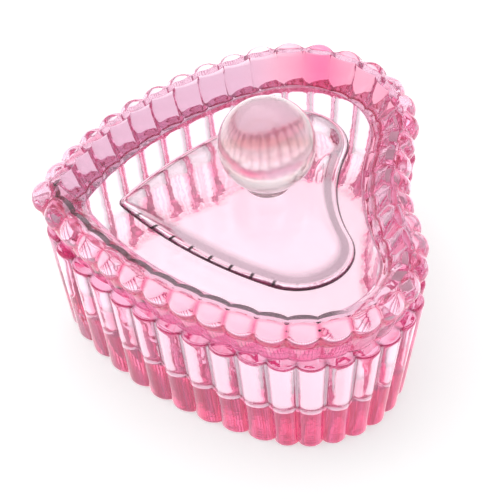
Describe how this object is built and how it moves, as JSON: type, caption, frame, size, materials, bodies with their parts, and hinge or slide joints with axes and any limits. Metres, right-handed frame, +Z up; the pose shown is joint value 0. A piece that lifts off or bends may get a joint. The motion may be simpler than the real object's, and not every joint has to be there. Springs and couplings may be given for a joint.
{
  "type": "trinket box",
  "caption": "Heart-shaped pressed-glass trinket box with a fluted bowl, a beaded lid that lifts off and a round ball knob.",
  "frame": {"origin": "on the table, under the middle of the box", "axes": "+Z up, the heart's tip towards -Y, its two lobes towards +Y, the heart's width along X"},
  "size_m": [0.1052, 0.0917, 0.0644],
  "materials": {
    "bowl_glass": "clear pink pressed glass, gloss",
    "lid_glass": "clear pink pressed glass, gloss",
    "bond_film": "clear cured adhesive film",
    "knob_glass": "almost colourless glass, gloss"
  },
  "bodies": {
    "bowl": {"heart_bowl": "bowl_glass"},
    "lid": {"heart_lid": "lid_glass", "knob_bond": "bond_film", "ball_knob": "knob_glass"}
  },
  "joints": [
    {"name": "lid_lift", "type": "slide", "parent": "bowl", "child": "lid", "axis": [0, 0, 1], "range_m": [0, 0.06]}
  ]
}
